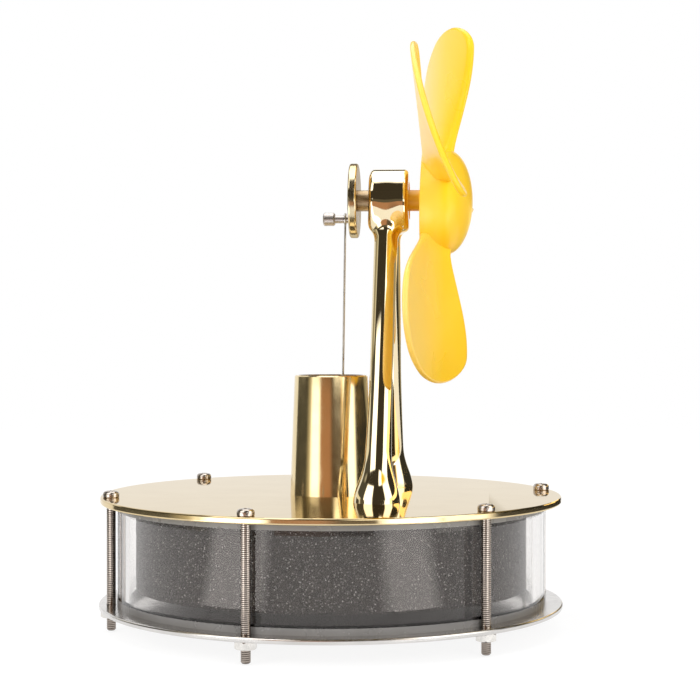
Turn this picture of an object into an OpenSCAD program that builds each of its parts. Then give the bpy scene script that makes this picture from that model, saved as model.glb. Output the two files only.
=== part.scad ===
// Low-temperature Stirling engine with a magnetically lifted displacer, a central power cylinder
// and a four-blade fan on the crankshaft. Millimetres. The tie screws stand on the floor at Z = 0,
// the plates are centred on the Z axis, and the crankshaft runs along X towards the fan.

/* [Plates] */
// Diameter of the top plate
top_plate_d = 100; // [99.4:0.1:112]
// Thickness of the top plate
top_plate_t = 1.4; // [1.2:0.1:3]
// Diameter of the bottom plate
bottom_plate_d = 100.6; // [99.4:0.1:112]
// Thickness of the bottom plate
bottom_plate_t = 1.1; // [0.8:0.1:3]
// Rounding of the plate edges
plate_edge_r = 0.35; // [0.1:0.05:0.4]

/* [Chamber] */
// Outside diameter of the clear ring
ring_od = 92.9; // [86:0.1:93]
// Wall of the clear ring
ring_wall = 2.5; // [1.5:0.1:4]
// Height of the clear ring
ring_h = 18.7; // [18:0.1:30]
// Thickness of each gasket
gasket_t = 1.4; // [0.8:0.1:2.5]

/* [Displacer] */
// Air gap between the displacer and the clear ring
displacer_side_gap = 1.5; // [0.8:0.1:4]
// Thickness of the foam displacer
displacer_t = 16.4; // [12:0.1:17]
// Diameter of the steel disc that the magnet lifts
armature_d = 22; // [18:0.5:30]
// Height of that disc above the foam
armature_raise = 1.7; // [1:0.1:1.8]
// Depth of that disc in the foam
armature_sink = 0.6; // [0.3:0.1:2]
// Gap left between the lifted disc and the top plate
lift_gap = 0.1; // [0.05:0.05:0.2]

/* [Tie screws] */
// Number of tie screws
tie_count = 6; // [4:1:8]
// Thread diameter
tie_d = 2; // [1.6:0.1:2.2]
// Diameter of the circle of screws
tie_circle_d = 95.4; // [95.3:0.1:95.6]
// Angle of the first screw from X
tie_first_angle = 15.3; // [10:0.1:20]
// Radial clearance of the plate holes
tie_hole_gap = 0.1; // [0.05:0.05:0.2]
// Head diameter
tie_head_d = 3.5; // [3.2:0.1:3.8]
// Head height
tie_head_h = 1.4; // [1:0.1:2]
// Width of the cross slot in the heads
tie_slot_w = 0.45; // [0.3:0.05:0.6]
// Depth of the cross slot in the heads
tie_slot_depth = 0.7; // [0.4:0.1:0.8]
// Nut width across flats
tie_nut_af = 4; // [3.6:0.1:4.4]
// Nut height
tie_nut_h = 1.6; // [1.2:0.1:2.2]
// Thread left below each nut
tie_tail = 2.8; // [1:0.1:8]
// Diameter of the bare thread end below each nut
tie_end_d = 1.9; // [1.4:0.05:1.9]

/* [Power cylinder] */
// Outside diameter at the plate
cylinder_base_d = 17.9; // [16.8:0.1:20]
// Outside diameter at the mouth
cylinder_top_d = 15.96; // [15:0.02:18]
// Height above the plate
cylinder_h = 25.9; // [25.2:0.1:30]
// Bore diameter
cylinder_bore_d = 14; // [13.8:0.1:14.2]
// Wall of the sleeve that goes through the plate
cylinder_sleeve_wall = 0.6; // [0.4:0.1:0.8]

/* [Piston] */
// Radial running clearance of the piston
piston_gap = 0.03; // [0.02:0.01:0.08]
// Piston height
piston_h = 14; // [13.6:0.1:14.4]
// Wall of the piston cup
piston_wall = 0.75; // [0.5:0.05:0.8]
// Floor of the piston cup
piston_floor = 3; // [2.6:0.1:3.2]
// Height of the piston above the plate at bottom dead centre
piston_rest = 0.2; // [0.1:0.1:0.4]
// Diameter of the magnet in the piston
magnet_d = 8; // [5:0.5:10]
// Thickness of the magnet
magnet_t = 2; // [1:0.1:2.2]
// Height of the wrist pin above the piston's base
wrist_h = 13.6; // [13.4:0.1:14]
// Wrist pin diameter
wrist_d = 1.6; // [1:0.1:1.8]
// Width of the wrist bracket along the shaft
bracket_w = 3.2; // [2.4:0.1:3.4]
// Depth of the wrist bracket across the shaft
bracket_depth = 3.2; // [2.6:0.1:4]
// Distance of the bracket's fan-side face from the cylinder axis
bracket_face = 1.1; // [0.6:0.1:1.2]
// Gap left between the wrist pin's end and the rod's lower eye
wrist_open_gap = 0.4; // [0.3:0.05:0.6]

/* [Crank] */
// Height of the shaft above the top plate
shaft_rise = 63.9; // [62:0.1:75]
// Shaft diameter
shaft_d = 3; // [2.6:0.1:3.2]
// Crank radius
crank_throw = 4; // [2.5:0.1:4]
// Crank disc diameter
disc_d = 16.2; // [14:0.1:20]
// Crank disc thickness
disc_t = 1.8; // [0.8:0.1:2]
// Position of the disc's rod-side face along the shaft
disc_x = 4.2; // [4:0.1:5]
// Rounding of the disc's rim
disc_edge_r = 0.4; // [0.1:0.05:0.4]
// Crank pin diameter
pin_d = 1.75; // [1.2:0.05:2]
// Length of the pin between its cap and the disc
pin_l = 3.3; // [2.6:0.1:3.6]
// Diameter of the pin's cap
pin_cap_d = 2.9; // [2.4:0.1:3.4]
// Length of the pin's cap
pin_cap_l = 2.6; // [1:0.1:3]

/* [Connecting rod] */
// Wire diameter in the eyes
wire_d = 0.5; // [0.35:0.05:0.6]
// Diameter of the straight shank
shank_d = 0.46; // [0.25:0.01:0.46]
// Radial clearance of the eye on the crank pin
eye_gap = 0.04; // [0.02:0.01:0.08]
// Gap between the upper eye and the disc
eye_disc_gap = 0.85; // [0.3:0.05:1.2]
// Position of the rod's lower eye along the shaft
rod_foot_x = 2.45; // [2.3:0.05:2.6]

/* [Frame] */
// Position of the bearing housing's middle along the shaft
frame_x = 12.8; // [12.7:0.1:13.1]
// Housing length
housing_l = 8.5; // [8:0.1:8.6]
// Housing diameter
housing_d = 13.6; // [11:0.1:16]
// Rounding of the housing's ends
housing_edge_r = 1; // [0.3:0.1:1.4]
// Distance of each foot from the shaft plane
foot_y = 18; // [15:0.1:24]
// Distance of each leg's top from the shaft plane
leg_top_y = 1.4; // [0:0.1:3]
// Position of the front foot along the shaft
front_foot_x = 11.2; // [11:0.1:12.4]
// Position of the back foot along the shaft
back_foot_x = 12.2; // [11.6:0.1:12.8]
// Position of the legs' tops along the shaft
leg_top_x = 12.4; // [12:0.1:12.8]
// Leg diameter at its slimmest
leg_d = 4.9; // [3.6:0.1:4.9]
// Leg diameter at the top
leg_top_d = 5.2; // [5:0.1:6]
// Width of the flared foot
foot_d = 9.8; // [8:0.1:12]
// Height of the foot's bell
flare_h = 11; // [7:0.5:16]
// Extra leg width at the foot from the legs' slow taper
leg_taper = 1.3; // [0:0.1:2]
// Length of that taper up the leg
leg_taper_l = 28; // [18:1:50]
// Frame screw diameter
frame_screw_d = 2; // [1.6:0.1:2.5]
// Head diameter of the frame screws
frame_head_d = 3.8; // [3.2:0.1:4.4]
// Depth of the countersunk head
frame_head_h = 1; // [0.6:0.1:1.1]
// Length of the frame screws
frame_screw_l = 6; // [4:0.5:8]

/* [Bearings and spacers] */
// Bearing outside diameter
bearing_od = 8; // [7.6:0.1:9]
// Bearing width
bearing_w = 3; // [2.4:0.1:3]
// Wall of the outer ring
outer_ring_wall = 0.75; // [0.6:0.05:0.8]
// Wall of the inner ring
inner_ring_wall = 0.85; // [0.7:0.05:0.9]
// Thickness of the bearing shields
shield_t = 0.25; // [0.15:0.05:0.35]
// Clearance between a shield and the inner ring
shield_gap = 0.1; // [0.05:0.05:0.2]
// Number of balls in each bearing
ball_count = 7; // [5:1:7]
// Ball diameter
ball_d = 1.4; // [1.2:0.05:1.45]
// Clearance of the balls in their grooves
ball_gap = 0.05; // [0.03:0.01:0.08]
// Depth of each bearing below the housing's end face
bearing_inset = 0.2; // [0.1:0.1:0.3]
// Radial wall of the shoulder between the bearings
shoulder_wall = 0.5; // [0.3:0.1:0.7]
// Spacer diameter
spacer_d = 4.6; // [4.2:0.1:4.6]
// Length of the spacer on the fan side
fan_spacer_l = 3; // [3:0.1:7]

/* [Fan] */
// Number of blades
blade_count = 4; // [2:1:4]
// Tip radius
fan_r = 41; // [34:0.1:44]
// Angle of the first blade from straight up, towards the front
blade_first_angle = 59; // [0:1:90]
// Hub diameter
hub_d = 22.6; // [18:0.1:26]
// Length of the straight part of the hub
hub_straight = 5.4; // [4:0.1:8]
// Height of the hub's dome
hub_dome = 5.6; // [3:0.1:8]
// Wall of the hub
hub_wall = 1.4; // [1:0.1:2]
// Diameter of the boss on the shaft
boss_d = 6.6; // [5.6:0.1:8]
// Length of shaft inside the hub
boss_grip = 8; // [5:0.1:8]
// Blade thickness
blade_t = 1.3; // [0.8:0.1:1.8]
// Half angle of a blade at the hub
blade_root_half = 16; // [8:1:20]
// Greatest half angle of a blade
blade_wide_half = 32.4; // [20:0.1:34]
// Radius where a blade is widest
blade_wide_r = 33.4; // [26:0.1:33.8]
// Fullness of the tip
blade_tip_power = 2.1; // [1.4:0.1:3]
// Middle of the blade along the shaft from the hub's rear face
blade_mid_x = 2; // [2:0.1:3]
// Advance of the blade along the shaft per radian
blade_pitch = 9.5; // [6:0.1:11]
// Extra advance per radian squared
blade_camber = 9.6; // [0:0.1:9.8]
// Radius at which the lean and the turn of a blade start
blade_ref_r = 25; // [22:0.5:30]
// Backward lean over one such radius
blade_rake = 2.1; // [-1:0.1:2.4]
// Turn of the blade's middle line over one such radius, in degrees
blade_skew = 5.4; // [0:0.1:8]
// Turn of the blade's middle line at that radius, in degrees
blade_offset = -0.9; // [-4:0.1:4]

/* [Hidden] */
$fn = 96;

// Heights, from the floor up
bottom_z = tie_tail + tie_nut_h;
chamber_z = bottom_z + bottom_plate_t;
ring_z = chamber_z + gasket_t;
upper_gasket_z = ring_z + ring_h;
top_plate_z = upper_gasket_z + gasket_t;
deck_z = top_plate_z + top_plate_t;
shaft_z = deck_z + shaft_rise;
pin_z = shaft_z - crank_throw;
piston_z = deck_z + piston_rest;
wrist_z = piston_z + wrist_h;
foam_top_z = top_plate_z - lift_gap - armature_raise;
displacer_z = foam_top_z - displacer_t;
over = 0.5;

// Radii and places that several pieces share
ring_ir = ring_od / 2 - ring_wall;
displacer_r = ring_ir - displacer_side_gap;
tie_hole_r = tie_d / 2 + tie_hole_gap;
sleeve_r = cylinder_bore_d / 2 + cylinder_sleeve_wall;
piston_r = cylinder_bore_d / 2 - piston_gap;
eye_r = pin_d / 2 + eye_gap + wire_d / 2;
eye_x = disc_x - eye_disc_gap - wire_d / 2;
housing_x = frame_x - housing_l / 2;
housing_end_x = frame_x + housing_l / 2;
first_bearing_x = housing_x + bearing_inset;
second_bearing_x = housing_end_x - bearing_inset - bearing_w;
bearings_end_x = second_bearing_x + bearing_w;
inner_ring_r = shaft_d / 2 + inner_ring_wall;
outer_ring_ir = bearing_od / 2 - outer_ring_wall;
ball_circle_r = (inner_ring_r + outer_ring_ir) / 2;
groove_r = ball_d / 2 + ball_gap;
hub_x = bearings_end_x + fan_spacer_l;
shaft_end_x = hub_x + boss_grip;
leg_tilt = atan((foot_y - leg_top_y) / shaft_rise);
leg_l = shaft_rise / cos(leg_tilt);

// A quarter circle of points about a centre, from one angle to another
function arc(cx, cy, r, from, to, steps) =
  [for (i = [0:steps]) let (a = from + (to - from) * i / steps) [cx + r * cos(a), cy + r * sin(a)]];

// Section of a round plate with softened edges and a hole in its middle
module plate_section(outer_r, hole_r, t, edge_r) {
  polygon(concat([[hole_r, 0]],
    arc(outer_r - edge_r, edge_r, edge_r, -90, 0, 4),
    arc(outer_r - edge_r, t - edge_r, edge_r, 0, 90, 4),
    [[hole_r, t]]));
}

module flat_ring(outer_r, inner_r, h) {
  difference() {
    cylinder(r = outer_r, h = h);
    translate([0, 0, -over])
      cylinder(r = inner_r, h = h + 2 * over);
  }
}

// Puts something at each tie screw
module at_ties() {
  for (i = [0:tie_count - 1])
    rotate([0, 0, tie_first_angle + i * 360 / tie_count])
      translate([tie_circle_d / 2, 0, 0])
        children();
}

// Turns a shape that stands on Z so that it lies along the shaft from x
module on_shaft(x) {
  translate([x, 0, shaft_z])
    rotate([0, 90, 0])
      children();
}

// The same, on the crank pin's axis
module on_pin(x) {
  translate([x, 0, pin_z])
    rotate([0, 90, 0])
      children();
}

// Position of a foot along the shaft: side 0 is the front one
function foot_x(side) = side == 0 ? front_foot_x : back_foot_x;

// Puts something at each foot of the frame, mirrored for the back one
module at_feet() {
  for (side = [0, 1])
    mirror([0, side, 0])
      translate([foot_x(side), -foot_y, deck_z])
        children();
}

module bottom_plate() {
  color("silver")
    difference() {
      translate([0, 0, bottom_z])
        rotate_extrude()
          plate_section(bottom_plate_d / 2, 0, bottom_plate_t, plate_edge_r);
      at_ties()
        translate([0, 0, bottom_z - over])
          cylinder(r = tie_hole_r, h = bottom_plate_t + 2 * over);
    }
}

module lower_gasket() {
  color("lightgray")
    translate([0, 0, chamber_z])
      flat_ring(ring_od / 2, ring_ir, gasket_t);
}

module acrylic_ring() {
  color("azure", 0.4)
    translate([0, 0, ring_z])
      flat_ring(ring_od / 2, ring_ir, ring_h);
}

module upper_gasket() {
  color("lightgray")
    translate([0, 0, upper_gasket_z])
      flat_ring(ring_od / 2, ring_ir, gasket_t);
}

module top_plate() {
  color("gold")
    difference() {
      translate([0, 0, top_plate_z])
        rotate_extrude()
          plate_section(top_plate_d / 2, sleeve_r, top_plate_t, plate_edge_r);
      at_ties()
        translate([0, 0, top_plate_z - over])
          cylinder(r = tie_hole_r, h = top_plate_t + 2 * over);
      at_feet()
        translate([0, 0, -top_plate_t - over])
          cylinder(r = frame_screw_d / 2, h = top_plate_t + 2 * over);
      at_feet()
        translate([0, 0, -top_plate_t])
          cylinder(r1 = frame_head_d / 2, r2 = frame_screw_d / 2, h = frame_head_h);
    }
}

// One pan-head screw, hanging from the deck to the floor
module tie_screw() {
  head_round = tie_head_h * 0.55;
  tie_point = 0.25;
  end_step = 0.1;
  end_gap = 0.3;
  end_r = min(tie_end_d, tie_d - end_step) / 2;
  end_h = tie_tail - end_gap;
  difference() {
    rotate_extrude()
      polygon(concat([[0, 0], [end_r - tie_point, 0], [end_r, tie_point], [end_r, end_h],
        [tie_d / 2, end_h], [tie_d / 2, deck_z], [tie_head_d / 2, deck_z]],
        arc(tie_head_d / 2 - head_round, deck_z + tie_head_h - head_round, head_round, 0, 90, 5),
        [[0, deck_z + tie_head_h]]));
    for (turn = [0, 90])
      rotate([0, 0, turn + 20])
        translate([-tie_head_d * 0.29, -tie_slot_w / 2, deck_z + tie_head_h - tie_slot_depth])
          cube([tie_head_d * 0.58, tie_slot_w, tie_slot_depth + over]);
  }
}

module tie_screws() {
  color("dimgray")
    at_ties()
      tie_screw();
}

// Hexagon nuts with their corners turned down
module tie_nuts() {
  bevel = 0.25;
  corner_r = tie_nut_af / 2 / cos(30);
  color("lightslategray")
    at_ties()
      translate([0, 0, tie_tail])
        difference() {
          intersection() {
            rotate([0, 0, 12])
              cylinder(r = corner_r, h = tie_nut_h, $fn = 6);
            rotate_extrude()
              polygon([[0, 0], [tie_nut_af / 2, 0], [corner_r, bevel], [corner_r, tie_nut_h - bevel],
                [tie_nut_af / 2, tie_nut_h], [0, tie_nut_h]]);
          }
          translate([0, 0, -over])
            cylinder(r = tie_d / 2, h = tie_nut_h + 2 * over);
        }
}

// Tapered cylinder with a straight bore and a sleeve down through the plate
module power_cylinder() {
  rim = 0.25;
  color("gold")
    translate([0, 0, deck_z])
      rotate_extrude()
        polygon([[cylinder_bore_d / 2, -top_plate_t], [sleeve_r, -top_plate_t], [sleeve_r, 0],
          [cylinder_base_d / 2, 0], [cylinder_top_d / 2, cylinder_h - rim],
          [cylinder_top_d / 2 - rim, cylinder_h], [cylinder_bore_d / 2, cylinder_h]]);
}

// Radius of a leg at a distance along it from the foot: a slow taper and a bell at the bottom
function leg_bell(s) = pow((1 + cos(180 * min(1, s / flare_h))) / 2, 1.6);
function leg_r(s) = leg_d / 2 + leg_taper / 2 * pow(max(0, 1 - s / leg_taper_l), 1.5)
  + (foot_d - leg_taper - leg_d) / 2 * leg_bell(s);

// Leg with a flared foot, from its foot up to the housing
module leg(side) {
  steps = 12;
  below = foot_d * 0.22;
  lean = atan((leg_top_x - foot_x(side)) / leg_l);
  rotate([-leg_tilt, 0, 0])
    rotate([0, lean, 0])
      rotate_extrude()
        polygon(concat([[0, -below], [foot_d / 2, -below]],
          [for (i = [0:steps]) let (s = flare_h * i / steps) [leg_r(s), s]],
          [for (i = [1:4]) let (s = flare_h + (leg_taper_l - flare_h) * i / 4) [leg_r(s), s]],
          [[leg_top_d / 2, leg_l], [0, leg_l]]));
}

// Bearing housing on two splayed legs
module a_frame() {
  color("goldenrod")
    difference() {
      union() {
        on_shaft(housing_x)
          rotate_extrude()
            polygon(concat([[0, 0]],
              arc(housing_d / 2 - housing_edge_r, housing_edge_r, housing_edge_r, -90, 0, 6),
              arc(housing_d / 2 - housing_edge_r, housing_l - housing_edge_r, housing_edge_r, 0, 90, 6),
              [[0, housing_l]]));
        for (side = [0, 1])
          mirror([0, side, 0])
            translate([foot_x(side), -foot_y, deck_z])
              leg(side);
      }
      translate([frame_x - foot_d, -foot_y - foot_d, deck_z - foot_d])
        cube([2 * foot_d, 2 * (foot_y + foot_d), foot_d]);
      on_shaft(housing_x - over)
        cylinder(r = bearing_od / 2 - shoulder_wall, h = housing_l + 2 * over);
      on_shaft(housing_x - over)
        cylinder(r = bearing_od / 2, h = bearing_inset + bearing_w + over);
      on_shaft(second_bearing_x)
        cylinder(r = bearing_od / 2, h = bearing_inset + bearing_w + over);
      at_feet()
        translate([0, 0, -over])
          cylinder(r = frame_screw_d / 2, h = frame_screw_l - top_plate_t + over);
    }
}

// Countersunk screws from under the top plate into the feet
module frame_screws() {
  color("dimgray")
    at_feet()
      translate([0, 0, -top_plate_t])
        rotate_extrude()
          polygon([[0, 0], [frame_head_d / 2, 0], [frame_screw_d / 2, frame_head_h],
            [frame_screw_d / 2, frame_screw_l], [0, frame_screw_l]]);
}

module at_bearings() {
  for (x = [first_bearing_x, second_bearing_x])
    on_shaft(x)
      children();
}

module ball_groove() {
  translate([0, 0, bearing_w / 2])
    rotate_extrude()
      translate([ball_circle_r, 0])
        circle(r = groove_r);
}

module bearing_outer_rings() {
  lip_r = inner_ring_r + shield_gap;
  color("slategray")
    at_bearings()
      difference() {
        rotate_extrude()
          polygon([[lip_r, 0], [bearing_od / 2, 0], [bearing_od / 2, bearing_w], [lip_r, bearing_w],
            [lip_r, bearing_w - shield_t], [outer_ring_ir, bearing_w - shield_t], [outer_ring_ir, shield_t],
            [lip_r, shield_t]]);
        ball_groove();
      }
}

module bearing_inner_rings() {
  color("lightsteelblue")
    at_bearings()
      difference() {
        flat_ring(inner_ring_r, shaft_d / 2, bearing_w);
        ball_groove();
      }
}

module bearing_balls() {
  color("white")
    at_bearings()
      for (i = [0:ball_count - 1])
        rotate([0, 0, i * 360 / ball_count])
          translate([ball_circle_r, 0, bearing_w / 2])
            sphere(r = ball_d / 2);
}

// Shaft from the crank disc's outer face into the fan's hub
module crankshaft() {
  tip = 0.3;
  shaft_l = shaft_end_x - disc_x;
  color("gray")
    on_shaft(disc_x)
      rotate_extrude()
        polygon([[0, 0], [shaft_d / 2, 0], [shaft_d / 2, shaft_l - tip], [shaft_d / 2 - tip, shaft_l],
          [0, shaft_l]]);
}

module crank_spacer() {
  color("peru")
    on_shaft(disc_x + disc_t)
      flat_ring(spacer_d / 2, shaft_d / 2, first_bearing_x - disc_x - disc_t);
}

module fan_spacer() {
  color("peru")
    on_shaft(bearings_end_x)
      flat_ring(spacer_d / 2, shaft_d / 2, fan_spacer_l);
}

module crank_disc() {
  color("khaki")
    difference() {
      on_shaft(disc_x)
        rotate_extrude()
          plate_section(disc_d / 2, shaft_d / 2, disc_t, disc_edge_r);
      on_pin(disc_x - over)
        cylinder(r = pin_d / 2, h = disc_t + 2 * over);
    }
}

// Pin with a cap in front of the rod, pressed into the disc
module crank_pin() {
  soft = 0.3;
  l = pin_cap_l + pin_l + disc_t;
  color("lightgray")
    on_pin(disc_x - pin_l - pin_cap_l)
      rotate_extrude()
        polygon([[0, 0], [pin_cap_d / 2 - soft, 0], [pin_cap_d / 2, soft], [pin_cap_d / 2, pin_cap_l - soft],
          [pin_cap_d / 2 - soft, pin_cap_l], [pin_d / 2, pin_cap_l], [pin_d / 2, l], [0, l]]);
}

// Half angle of a blade at a radius, and the middle line it lies about
function widening(r) = sin(90 * max(0, r - hub_d / 2) / (blade_wide_r - hub_d / 2));
function closing(r) = sqrt(max(0, 1 - pow((r - blade_wide_r) / (fan_r - blade_wide_r), blade_tip_power)));
function blade_half(r) = r < blade_wide_r
  ? blade_root_half + (blade_wide_half - blade_root_half) * widening(r)
  : max(1.2, blade_wide_half * closing(r));
function blade_mid(r) = blade_offset + blade_skew * (r - blade_ref_r) / blade_ref_r;
// Place along the shaft of a blade's middle surface, at an angle in degrees from its middle
function blade_x(r, a) = blade_mid_x + blade_pitch * a * PI / 180 + blade_camber * pow(a * PI / 180, 2)
  - blade_rake * (r - blade_ref_r) / blade_ref_r;

// Blade standing up from the shaft: a thick skin on a twisted surface
module blade() {
  span_count = 14;
  chord_count = 10;
  root_r = hub_d / 2 - hub_wall * 0.8;
  row = chord_count + 1;
  layer = (span_count + 1) * row;
  points = [for (side = [-1, 1]) for (i = [0:span_count]) for (j = [0:chord_count])
    let (r = root_r + (fan_r - root_r) * (1 - pow(1 - i / span_count, 1.8)))
    let (a = blade_mid(r) + blade_half(r) * (2 * j / chord_count - 1))
    let (lift = side * blade_t / 2 * sqrt(1 + pow(blade_pitch / r, 2)))
    [blade_x(r, a) + lift, -r * sin(a), r * cos(a)]];
  rear = [for (i = [0:span_count - 1]) for (j = [0:chord_count - 1])
    let (p = i * row + j)
    each [[p, p + 1, p + row], [p + 1, p + row + 1, p + row]]];
  front = [for (f = rear) [f[0] + layer, f[2] + layer, f[1] + layer]];
  low_edge = [for (j = [0:chord_count - 1]) each [[j, j + layer, j + 1], [j + 1, j + layer, j + 1 + layer]]];
  tip = span_count * row;
  tip_edge = [for (j = [0:chord_count - 1])
    let (p = tip + j)
    each [[p, p + 1, p + layer], [p + 1, p + 1 + layer, p + layer]]];
  side_a = [for (i = [0:span_count - 1])
    let (p = i * row)
    each [[p, p + row, p + layer], [p + row, p + row + layer, p + layer]]];
  side_b = [for (i = [0:span_count - 1])
    let (p = i * row + chord_count)
    each [[p, p + layer, p + row], [p + row, p + layer, p + row + layer]]];
  outward = concat(rear, front, low_edge, tip_edge, side_a, side_b);
  polyhedron(points = points, faces = [for (f = outward) [f[2], f[1], f[0]]]);
}

// Height of the dome at a radius, for a cap of the given radius and height
function dome(r, cap_r, h) = h * sqrt(max(0, 1 - pow(r / cap_r, 2)));

// Hollow hub with a domed front, a boss on the shaft and the blades round it
module fan() {
  steps = 14;
  hub_r = hub_d / 2;
  inner_r = hub_r - hub_wall;
  inner_dome = hub_dome - hub_wall;
  color("gold")
    difference() {
      union() {
        on_shaft(hub_x)
          rotate_extrude()
            polygon(concat([[inner_r, 0], [hub_r, 0]],
              [for (i = [0:steps])
                let (a = 90 * i / steps)
                [hub_r * cos(a), hub_straight + hub_dome * sin(a)]],
              [for (i = [0:steps])
                let (a = 90 - 90 * i / steps)
                [inner_r * cos(a), hub_straight + inner_dome * sin(a)]]));
        on_shaft(hub_x)
          cylinder(r = boss_d / 2, h = hub_straight + dome(boss_d / 2, inner_r, inner_dome) + hub_wall / 2);
        for (i = [0:blade_count - 1])
          translate([hub_x, 0, shaft_z])
            rotate([blade_first_angle + i * 360 / blade_count, 0, 0])
              blade();
      }
      on_shaft(hub_x - over)
        cylinder(r = shaft_d / 2, h = boss_grip + over);
    }
}

// Wire eye about an axis along the shaft
module eye(x, z) {
  translate([x, 0, z])
    rotate([0, 90, 0])
      rotate_extrude()
        translate([eye_r, 0])
          circle(r = wire_d / 2);
}

// Wire rod with an eye on the crank pin and one beside the wrist pin
module connecting_rod() {
  dx = eye_x - rod_foot_x;
  dz = pin_z - wrist_z - 2 * eye_r;
  color("gray")
    union() {
      eye(eye_x, pin_z);
      eye(rod_foot_x, wrist_z);
      translate([rod_foot_x, 0, wrist_z + eye_r])
        rotate([0, atan2(dx, dz), 0])
          cylinder(r = min(shank_d, wire_d - 0.04) / 2, h = sqrt(dx * dx + dz * dz));
    }
}

// Cup piston with a pocket for the magnet in its base
module power_piston() {
  soft = 0.2;
  color("dimgray")
    translate([0, 0, piston_z])
      rotate_extrude()
        polygon([[0, magnet_t], [magnet_d / 2, magnet_t], [magnet_d / 2, 0], [piston_r - soft, 0],
          [piston_r, soft], [piston_r, piston_h - soft], [piston_r - soft, piston_h],
          [piston_r - piston_wall, piston_h],
          [piston_r - piston_wall, piston_floor], [0, piston_floor]]);
}

module piston_magnet() {
  color("silver")
    translate([0, 0, piston_z])
      cylinder(r = magnet_d / 2, h = magnet_t);
}

// Upright bracket on the piston floor that carries the wrist pin
module wrist_bracket() {
  color("darkkhaki")
    difference() {
      union() {
        translate([bracket_face - bracket_w, -bracket_depth / 2, piston_z + piston_floor])
          cube([bracket_w, bracket_depth, wrist_h - piston_floor]);
        translate([bracket_face - bracket_w, 0, wrist_z])
          rotate([0, 90, 0])
            cylinder(r = bracket_depth / 2, h = bracket_w);
      }
      translate([bracket_face - bracket_w - over, 0, wrist_z])
        rotate([0, 90, 0])
          cylinder(r = wrist_d / 2, h = bracket_w + 2 * over);
    }
}

module wrist_pin() {
  pin_proud = 0.3;
  pin_from = bracket_face - bracket_w - pin_proud;
  pin_to = rod_foot_x - wire_d / 2 - wrist_open_gap;
  color("lightgray")
    translate([pin_from, 0, wrist_z])
      rotate([0, 90, 0])
        cylinder(r = wrist_d / 2, h = pin_to - pin_from);
}

// Foam disc with softened edges and a recess for the steel disc
module displacer() {
  soft = 0.6;
  color("darkslategray")
    difference() {
      translate([0, 0, displacer_z])
        rotate_extrude()
          plate_section(displacer_r, 0, displacer_t, soft);
      translate([0, 0, foam_top_z - armature_sink])
        cylinder(r = armature_d / 2, h = armature_sink + over);
    }
}

// Steel disc that stops against the top plate when the magnet lifts the foam
module displacer_armature() {
  soft = 0.2;
  armature_t = armature_sink + armature_raise;
  color("silver")
    translate([0, 0, foam_top_z - armature_sink])
      rotate_extrude()
        polygon([[0, 0], [armature_d / 2, 0], [armature_d / 2, armature_t - soft],
          [armature_d / 2 - soft, armature_t], [0, armature_t]]);
}

bottom_plate();
lower_gasket();
acrylic_ring();
upper_gasket();
top_plate();
tie_screws();
tie_nuts();
power_cylinder();
a_frame();
frame_screws();
bearing_outer_rings();
crankshaft();
bearing_inner_rings();
bearing_balls();
crank_spacer();
fan_spacer();
crank_disc();
crank_pin();
fan();
connecting_rod();
power_piston();
piston_magnet();
wrist_bracket();
wrist_pin();
displacer();
displacer_armature();
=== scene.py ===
"""Stirling engine on a white floor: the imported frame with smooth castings, threaded screws, a foam
displacer and a moulded fan, each with its own node material."""
from math import cos, pi, radians, sin, tan

import bmesh
import bpy
import numpy as np
from mathutils import Matrix, Vector, noise


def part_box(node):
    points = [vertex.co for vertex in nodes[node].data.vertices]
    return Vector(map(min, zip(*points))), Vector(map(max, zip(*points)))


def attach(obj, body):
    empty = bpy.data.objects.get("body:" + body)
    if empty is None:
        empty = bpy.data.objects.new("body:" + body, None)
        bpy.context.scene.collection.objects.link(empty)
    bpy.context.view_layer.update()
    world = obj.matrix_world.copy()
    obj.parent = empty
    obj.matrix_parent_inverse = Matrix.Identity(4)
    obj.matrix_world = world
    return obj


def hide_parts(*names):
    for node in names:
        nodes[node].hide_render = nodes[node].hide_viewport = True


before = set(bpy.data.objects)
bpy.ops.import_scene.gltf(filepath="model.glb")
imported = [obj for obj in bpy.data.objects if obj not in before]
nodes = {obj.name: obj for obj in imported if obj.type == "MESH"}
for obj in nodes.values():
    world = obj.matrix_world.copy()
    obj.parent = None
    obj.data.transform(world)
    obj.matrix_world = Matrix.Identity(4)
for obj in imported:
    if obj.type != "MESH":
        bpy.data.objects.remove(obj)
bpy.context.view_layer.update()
scene = bpy.context.scene
scene.view_settings.view_transform = "Standard"

MM = 0.001

# Places read from the frame, in millimetres
deck_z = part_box("top_plate")[1].z / MM
shaft_z = (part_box("crankshaft")[0].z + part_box("crankshaft")[1].z) / 2 / MM
hub_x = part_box("fan_spacer")[1].x / MM
housing_x = (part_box("bearing_outer_rings")[0].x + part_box("bearing_outer_rings")[1].x) / 2 / MM


# Materials

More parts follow.
